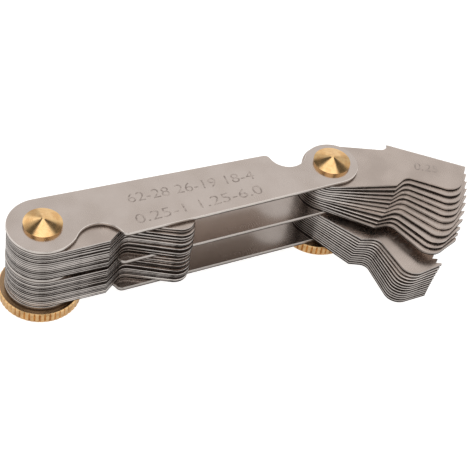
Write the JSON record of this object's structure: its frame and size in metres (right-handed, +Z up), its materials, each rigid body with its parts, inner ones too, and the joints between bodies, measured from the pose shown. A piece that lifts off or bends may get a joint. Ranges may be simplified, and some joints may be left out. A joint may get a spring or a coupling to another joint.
{
  "type": "thread pitch gauge",
  "caption": "Thread pitch gauge: flat steel case plates, two cone-headed brass screws with knurled thumb nuts, and packs of thin toothed leaves that swing out at both ends.",
  "frame": {"origin": "left screw's axis at the plane of the thumb nuts' feet", "axes": "+X from the left screw towards the right screw, +Y towards the back edge of the case, +Z up along the screws"},
  "size_m": [0.0953, 0.034, 0.0207],
  "materials": {
    "plate_steel": "fine satin grinding",
    "leaf_steel": "fine ground sheet with sheared edges",
    "screw_brass": "polished turned",
    "nut_brass": "turned with a straight knurl"
  },
  "bodies": {
    "case": {"bottom_plate": "plate_steel", "middle_plate": "plate_steel", "top_plate": "plate_steel", "left_screw": "screw_brass", "right_screw": "screw_brass"},
    "left_thumb_nut": {"left_thumb_nut": "nut_brass"},
    "right_thumb_nut": {"right_thumb_nut": "nut_brass"},
    "leaf_tpi_62": {"leaf_tpi_62": "leaf_steel"},
    "leaf_tpi_60": {"leaf_tpi_60": "leaf_steel"},
    "leaf_tpi_48": {"leaf_tpi_48": "leaf_steel"},
    "leaf_tpi_40": {"leaf_tpi_40": "leaf_steel"},
    "leaf_tpi_36": {"leaf_tpi_36": "leaf_steel"},
    "leaf_tpi_32": {"leaf_tpi_32": "leaf_steel"},
    "leaf_tpi_30": {"leaf_tpi_30": "leaf_steel"},
    "leaf_tpi_28": {"leaf_tpi_28": "leaf_steel"},
    "leaf_tpi_26": {"leaf_tpi_26": "leaf_steel"},
    "leaf_tpi_25": {"leaf_tpi_25": "leaf_steel"},
    "leaf_tpi_24": {"leaf_tpi_24": "leaf_steel"},
    "leaf_tpi_22": {"leaf_tpi_22": "leaf_steel"},
    "leaf_tpi_20": {"leaf_tpi_20": "leaf_steel"},
    "leaf_tpi_19": {"leaf_tpi_19": "leaf_steel"},
    "leaf_tpi_18": {"leaf_tpi_18": "leaf_steel"},
    "leaf_tpi_16": {"leaf_tpi_16": "leaf_steel"},
    "leaf_tpi_14": {"leaf_tpi_14": "leaf_steel"},
    "leaf_tpi_13": {"leaf_tpi_13": "leaf_steel"},
    "leaf_tpi_12": {"leaf_tpi_12": "leaf_steel"},
    "leaf_tpi_11": {"leaf_tpi_11": "leaf_steel"},
    "leaf_tpi_10": {"leaf_tpi_10": "leaf_steel"},
    "leaf_tpi_9": {"leaf_tpi_9": "leaf_steel"},
    "leaf_tpi_8": {"leaf_tpi_8": "leaf_steel"},
    "leaf_tpi_7": {"leaf_tpi_7": "leaf_steel"},
    "leaf_tpi_6": {"leaf_tpi_6": "leaf_steel"},
    "leaf_tpi_5": {"leaf_tpi_5": "leaf_steel"},
    "leaf_tpi_4_5": {"leaf_tpi_4_5": "leaf_steel"},
    "leaf_tpi_4": {"leaf_tpi_4": "leaf_steel"},
    "leaf_mm_0_25": {"leaf_mm_0_25": "leaf_steel"},
    "leaf_mm_0_30": {"leaf_mm_0_30": "leaf_steel"},
    "leaf_mm_0_35": {"leaf_mm_0_35": "leaf_steel"},
    "leaf_mm_0_40": {"leaf_mm_0_40": "leaf_steel"},
    "leaf_mm_0_45": {"leaf_mm_0_45": "leaf_steel"},
    "leaf_mm_0_50": {"leaf_mm_0_50": "leaf_steel"},
    "leaf_mm_0_60": {"leaf_mm_0_60": "leaf_steel"},
    "leaf_mm_0_70": {"leaf_mm_0_70": "leaf_steel"},
    "leaf_mm_0_75": {"leaf_mm_0_75": "leaf_steel"},
    "leaf_mm_0_80": {"leaf_mm_0_80": "leaf_steel"},
    "leaf_mm_0_90": {"leaf_mm_0_90": "leaf_steel"},
    "leaf_mm_1_00": {"leaf_mm_1_00": "leaf_steel"},
    "leaf_mm_1_25": {"leaf_mm_1_25": "leaf_steel"},
    "leaf_mm_1_50": {"leaf_mm_1_50": "leaf_steel"},
    "leaf_mm_1_75": {"leaf_mm_1_75": "leaf_steel"},
    "leaf_mm_2_00": {"leaf_mm_2_00": "leaf_steel"},
    "leaf_mm_2_50": {"leaf_mm_2_50": "leaf_steel"},
    "leaf_mm_3_00": {"leaf_mm_3_00": "leaf_steel"},
    "leaf_mm_3_50": {"leaf_mm_3_50": "leaf_steel"},
    "leaf_mm_4_00": {"leaf_mm_4_00": "leaf_steel"},
    "leaf_mm_4_50": {"leaf_mm_4_50": "leaf_steel"},
    "leaf_mm_5_00": {"leaf_mm_5_00": "leaf_steel"},
    "leaf_mm_5_50": {"leaf_mm_5_50": "leaf_steel"},
    "leaf_mm_6_00": {"leaf_mm_6_00": "leaf_steel"}
  },
  "joints": [
    {"name": "leaf_tpi_62_swing", "type": "hinge", "parent": "case", "child": "leaf_tpi_62", "pos_m": [0, 0, 0.01019], "axis": [0, 0, 1], "continuous": true},
    {"name": "leaf_tpi_60_swing", "type": "hinge", "parent": "case", "child": "leaf_tpi_60", "pos_m": [0, 0, 0.01019], "axis": [0, 0, 1], "continuous": true},
    {"name": "leaf_tpi_48_swing", "type": "hinge", "parent": "case", "child": "leaf_tpi_48", "pos_m": [0, 0, 0.01019], "axis": [0, 0, 1], "continuous": true},
    {"name": "leaf_tpi_40_swing", "type": "hinge", "parent": "case", "child": "leaf_tpi_40", "pos_m": [0, 0, 0.01019], "axis": [0, 0, 1], "continuous": true},
    {"name": "leaf_tpi_36_swing", "type": "hinge", "parent": "case", "child": "leaf_tpi_36", "pos_m": [0, 0, 0.01019], "axis": [0, 0, 1], "continuous": true},
    {"name": "leaf_tpi_32_swing", "type": "hinge", "parent": "case", "child": "leaf_tpi_32", "pos_m": [0, 0, 0.01019], "axis": [0, 0, 1], "continuous": true},
    {"name": "leaf_tpi_30_swing", "type": "hinge", "parent": "case", "child": "leaf_tpi_30", "pos_m": [0, 0, 0.01019], "axis": [0, 0, 1], "continuous": true},
    {"name": "leaf_tpi_28_swing", "type": "hinge", "parent": "case", "child": "leaf_tpi_28", "pos_m": [0, 0, 0.01019], "axis": [0, 0, 1], "continuous": true},
    {"name": "leaf_tpi_26_swing", "type": "hinge", "parent": "case", "child": "leaf_tpi_26", "pos_m": [0, 0, 0.01019], "axis": [0, 0, 1], "continuous": true},
    {"name": "leaf_tpi_25_swing", "type": "hinge", "parent": "case", "child": "leaf_tpi_25", "pos_m": [0, 0, 0.01019], "axis": [0, 0, 1], "continuous": true},
    {"name": "leaf_tpi_24_swing", "type": "hinge", "parent": "case", "child": "leaf_tpi_24", "pos_m": [0, 0, 0.01019], "axis": [0, 0, 1], "continuous": true},
    {"name": "leaf_tpi_22_swing", "type": "hinge", "parent": "case", "child": "leaf_tpi_22", "pos_m": [0, 0, 0.01019], "axis": [0, 0, 1], "continuous": true},
    {"name": "leaf_tpi_20_swing", "type": "hinge", "parent": "case", "child": "leaf_tpi_20", "pos_m": [0, 0, 0.01019], "axis": [0, 0, 1], "continuous": true},
    {"name": "leaf_tpi_19_swing", "type": "hinge", "parent": "case", "child": "leaf_tpi_19", "pos_m": [0, 0, 0.01019], "axis": [0, 0, 1], "continuous": true},
    {"name": "leaf_tpi_18_swing", "type": "hinge", "parent": "case", "child": "leaf_tpi_18", "pos_m": [0, 0, 0.01019], "axis": [0, 0, 1], "continuous": true},
    {"name": "leaf_tpi_16_swing", "type": "hinge", "parent": "case", "child": "leaf_tpi_16", "pos_m": [0, 0, 0.01019], "axis": [0, 0, 1], "continuous": true},
    {"name": "leaf_tpi_14_swing", "type": "hinge", "parent": "case", "child": "leaf_tpi_14", "pos_m": [0, 0, 0.01019], "axis": [0, 0, 1], "continuous": true},
    {"name": "leaf_tpi_13_swing", "type": "hinge", "parent": "case", "child": "leaf_tpi_13", "pos_m": [0, 0, 0.01019], "axis": [0, 0, 1], "continuous": true},
    {"name": "leaf_tpi_12_swing", "type": "hinge", "parent": "case", "child": "leaf_tpi_12", "pos_m": [0, 0, 0.01019], "axis": [0, 0, 1], "continuous": true},
    {"name": "leaf_tpi_11_swing", "type": "hinge", "parent": "case", "child": "leaf_tpi_11", "pos_m": [0, 0, 0.01019], "axis": [0, 0, 1], "continuous": true},
    {"name": "leaf_tpi_10_swing", "type": "hinge", "parent": "case", "child": "leaf_tpi_10", "pos_m": [0, 0, 0.01019], "axis": [0, 0, 1], "continuous": true},
    {"name": "leaf_tpi_9_swing", "type": "hinge", "parent": "case", "child": "leaf_tpi_9", "pos_m": [0, 0, 0.01019], "axis": [0, 0, 1], "continuous": true},
    {"name": "leaf_tpi_8_swing", "type": "hinge", "parent": "case", "child": "leaf_tpi_8", "pos_m": [0, 0, 0.01019], "axis": [0, 0, 1], "continuous": true},
    {"name": "leaf_tpi_7_swing", "type": "hinge", "parent": "case", "child": "leaf_tpi_7", "pos_m": [0, 0, 0.01019], "axis": [0, 0, 1], "continuous": true},
    {"name": "leaf_tpi_6_swing", "type": "hinge", "parent": "case", "child": "leaf_tpi_6", "pos_m": [0, 0, 0.01019], "axis": [0, 0, 1], "continuous": true},
    {"name": "leaf_tpi_5_swing", "type": "hinge", "parent": "case", "child": "leaf_tpi_5", "pos_m": [0, 0, 0.01019], "axis": [0, 0, 1], "continuous": true},
    {"name": "leaf_tpi_4_5_swing", "type": "hinge", "parent": "case", "child": "leaf_tpi_4_5", "pos_m": [0, 0, 0.01019], "axis": [0, 0, 1], "continuous": true},
    {"name": "leaf_tpi_4_swing", "type": "hinge", "parent": "case", "child": "leaf_tpi_4", "pos_m": [0, 0, 0.01019], "axis": [0, 0, 1], "continuous": true},
    {"name": "leaf_mm_0_25_swing", "type": "hinge", "parent": "case", "child": "leaf_mm_0_25", "pos_m": [0.06, 0, 0.01019], "axis": [0, 0, 1], "continuous": true},
    {"name": "leaf_mm_0_30_swing", "type": "hinge", "parent": "case", "child": "leaf_mm_0_30", "pos_m": [0.06, 0, 0.01019], "axis": [0, 0, 1], "continuous": true},
    {"name": "leaf_mm_0_35_swing", "type": "hinge", "parent": "case", "child": "leaf_mm_0_35", "pos_m": [0.06, 0, 0.01019], "axis": [0, 0, 1], "continuous": true},
    {"name": "leaf_mm_0_40_swing", "type": "hinge", "parent": "case", "child": "leaf_mm_0_40", "pos_m": [0.06, 0, 0.01019], "axis": [0, 0, 1], "continuous": true},
    {"name": "leaf_mm_0_45_swing", "type": "hinge", "parent": "case", "child": "leaf_mm_0_45", "pos_m": [0.06, 0, 0.01019], "axis": [0, 0, 1], "continuous": true},
    {"name": "leaf_mm_0_50_swing", "type": "hinge", "parent": "case", "child": "leaf_mm_0_50", "pos_m": [0.06, 0, 0.01019], "axis": [0, 0, 1], "continuous": true},
    {"name": "leaf_mm_0_60_swing", "type": "hinge", "parent": "case", "child": "leaf_mm_0_60", "pos_m": [0.06, 0, 0.01019], "axis": [0, 0, 1], "continuous": true},
    {"name": "leaf_mm_0_70_swing", "type": "hinge", "parent": "case", "child": "leaf_mm_0_70", "pos_m": [0.06, 0, 0.01019], "axis": [0, 0, 1], "continuous": true},
    {"name": "leaf_mm_0_75_swing", "type": "hinge", "parent": "case", "child": "leaf_mm_0_75", "pos_m": [0.06, 0, 0.01019], "axis": [0, 0, 1], "continuous": true},
    {"name": "leaf_mm_0_80_swing", "type": "hinge", "parent": "case", "child": "leaf_mm_0_80", "pos_m": [0.06, 0, 0.01019], "axis": [0, 0, 1], "continuous": true},
    {"name": "leaf_mm_0_90_swing", "type": "hinge", "parent": "case", "child": "leaf_mm_0_90", "pos_m": [0.06, 0, 0.01019], "axis": [0, 0, 1], "continuous": true},
    {"name": "leaf_mm_1_00_swing", "type": "hinge", "parent": "case", "child": "leaf_mm_1_00", "pos_m": [0.06, 0, 0.01019], "axis": [0, 0, 1], "continuous": true},
    {"name": "leaf_mm_1_25_swing", "type": "hinge", "parent": "case", "child": "leaf_mm_1_25", "pos_m": [0.06, 0, 0.01019], "axis": [0, 0, 1], "continuous": true},
    {"name": "leaf_mm_1_50_swing", "type": "hinge", "parent": "case", "child": "leaf_mm_1_50", "pos_m": [0.06, 0, 0.01019], "axis": [0, 0, 1], "continuous": true},
    {"name": "leaf_mm_1_75_swing", "type": "hinge", "parent": "case", "child": "leaf_mm_1_75", "pos_m": [0.06, 0, 0.01019], "axis": [0, 0, 1], "continuous": true},
    {"name": "leaf_mm_2_00_swing", "type": "hinge", "parent": "case", "child": "leaf_mm_2_00", "pos_m": [0.06, 0, 0.01019], "axis": [0, 0, 1], "continuous": true},
    {"name": "leaf_mm_2_50_swing", "type": "hinge", "parent": "case", "child": "leaf_mm_2_50", "pos_m": [0.06, 0, 0.01019], "axis": [0, 0, 1], "continuous": true},
    {"name": "leaf_mm_3_00_swing", "type": "hinge", "parent": "case", "child": "leaf_mm_3_00", "pos_m": [0.06, 0, 0.01019], "axis": [0, 0, 1], "continuous": true},
    {"name": "leaf_mm_3_50_swing", "type": "hinge", "parent": "case", "child": "leaf_mm_3_50", "pos_m": [0.06, 0, 0.01019], "axis": [0, 0, 1], "continuous": true},
    {"name": "leaf_mm_4_00_swing", "type": "hinge", "parent": "case", "child": "leaf_mm_4_00", "pos_m": [0.06, 0, 0.01019], "axis": [0, 0, 1], "continuous": true},
    {"name": "leaf_mm_4_50_swing", "type": "hinge", "parent": "case", "child": "leaf_mm_4_50", "pos_m": [0.06, 0, 0.01019], "axis": [0, 0, 1], "continuous": true},
    {"name": "leaf_mm_5_00_swing", "type": "hinge", "parent": "case", "child": "leaf_mm_5_00", "pos_m": [0.06, 0, 0.01019], "axis": [0, 0, 1], "continuous": true},
    {"name": "leaf_mm_5_50_swing", "type": "hinge", "parent": "case", "child": "leaf_mm_5_50", "pos_m": [0.06, 0, 0.01019], "axis": [0, 0, 1], "continuous": true},
    {"name": "leaf_mm_6_00_swing", "type": "hinge", "parent": "case", "child": "leaf_mm_6_00", "pos_m": [0.06, 0, 0.01019], "axis": [0, 0, 1], "continuous": true},
    {"name": "left_thumb_nut_turn", "type": "hinge", "parent": "case", "child": "left_thumb_nut", "pos_m": [0, 0, 0], "axis": [0, 0, 1], "range_deg": [-90, 0]},
    {"name": "right_thumb_nut_turn", "type": "hinge", "parent": "case", "child": "right_thumb_nut", "pos_m": [0.06, 0, 0], "axis": [0, 0, 1], "range_deg": [-90, 0]}
  ]
}
